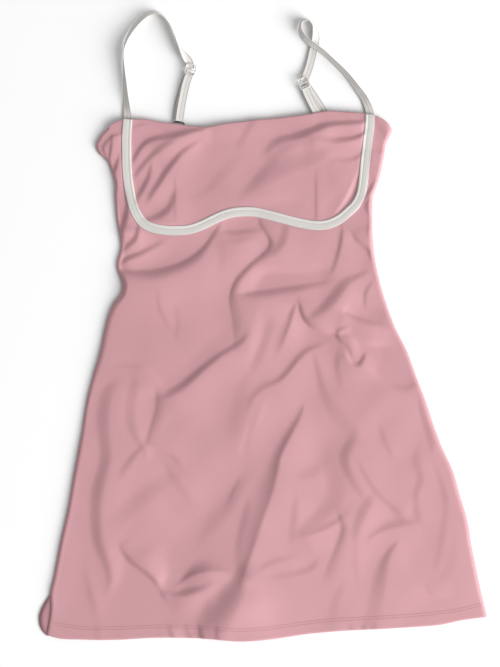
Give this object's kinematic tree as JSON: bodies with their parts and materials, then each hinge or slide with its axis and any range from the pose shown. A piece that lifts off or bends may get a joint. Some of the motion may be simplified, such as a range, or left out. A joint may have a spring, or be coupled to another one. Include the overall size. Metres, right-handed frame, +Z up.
{
  "type": "tennis dress",
  "caption": "Sleeveless A-line dress laid flat, with a bound bust panel and adjustable shoulder straps.",
  "frame": {"origin": "middle of the dress's outline, on the surface it lies on", "axes": "+Y runs from the hem to the straps, +Z up out of the surface, +X to the right seen from above"},
  "size_m": [0.56, 0.7887, 0.013],
  "materials": {
    "pink_knit": "smooth matte double knit",
    "pink_knit_inside": "smooth matte double knit, inner face",
    "ivory_binding": "soft elastic binding with a fine lengthwise rib",
    "clear_plastic": "moulded, slightly milky",
    "dark_metal": "dark plated"
  },
  "bodies": {
    "root": {"back_panel": "pink_knit_inside", "front_body": "pink_knit", "front_bust": "pink_knit", "trim": "ivory_binding", "strap_left": "ivory_binding", "strap_right": "ivory_binding", "strap_left_upper": "ivory_binding", "strap_right_upper": "ivory_binding", "strap_left_lower": "ivory_binding", "strap_right_lower": "ivory_binding", "tab_left": "ivory_binding", "tab_right": "ivory_binding", "slider_left": "clear_plastic", "slider_right": "clear_plastic", "ring_left": "dark_metal", "ring_right": "dark_metal"}
  },
  "joints": []
}
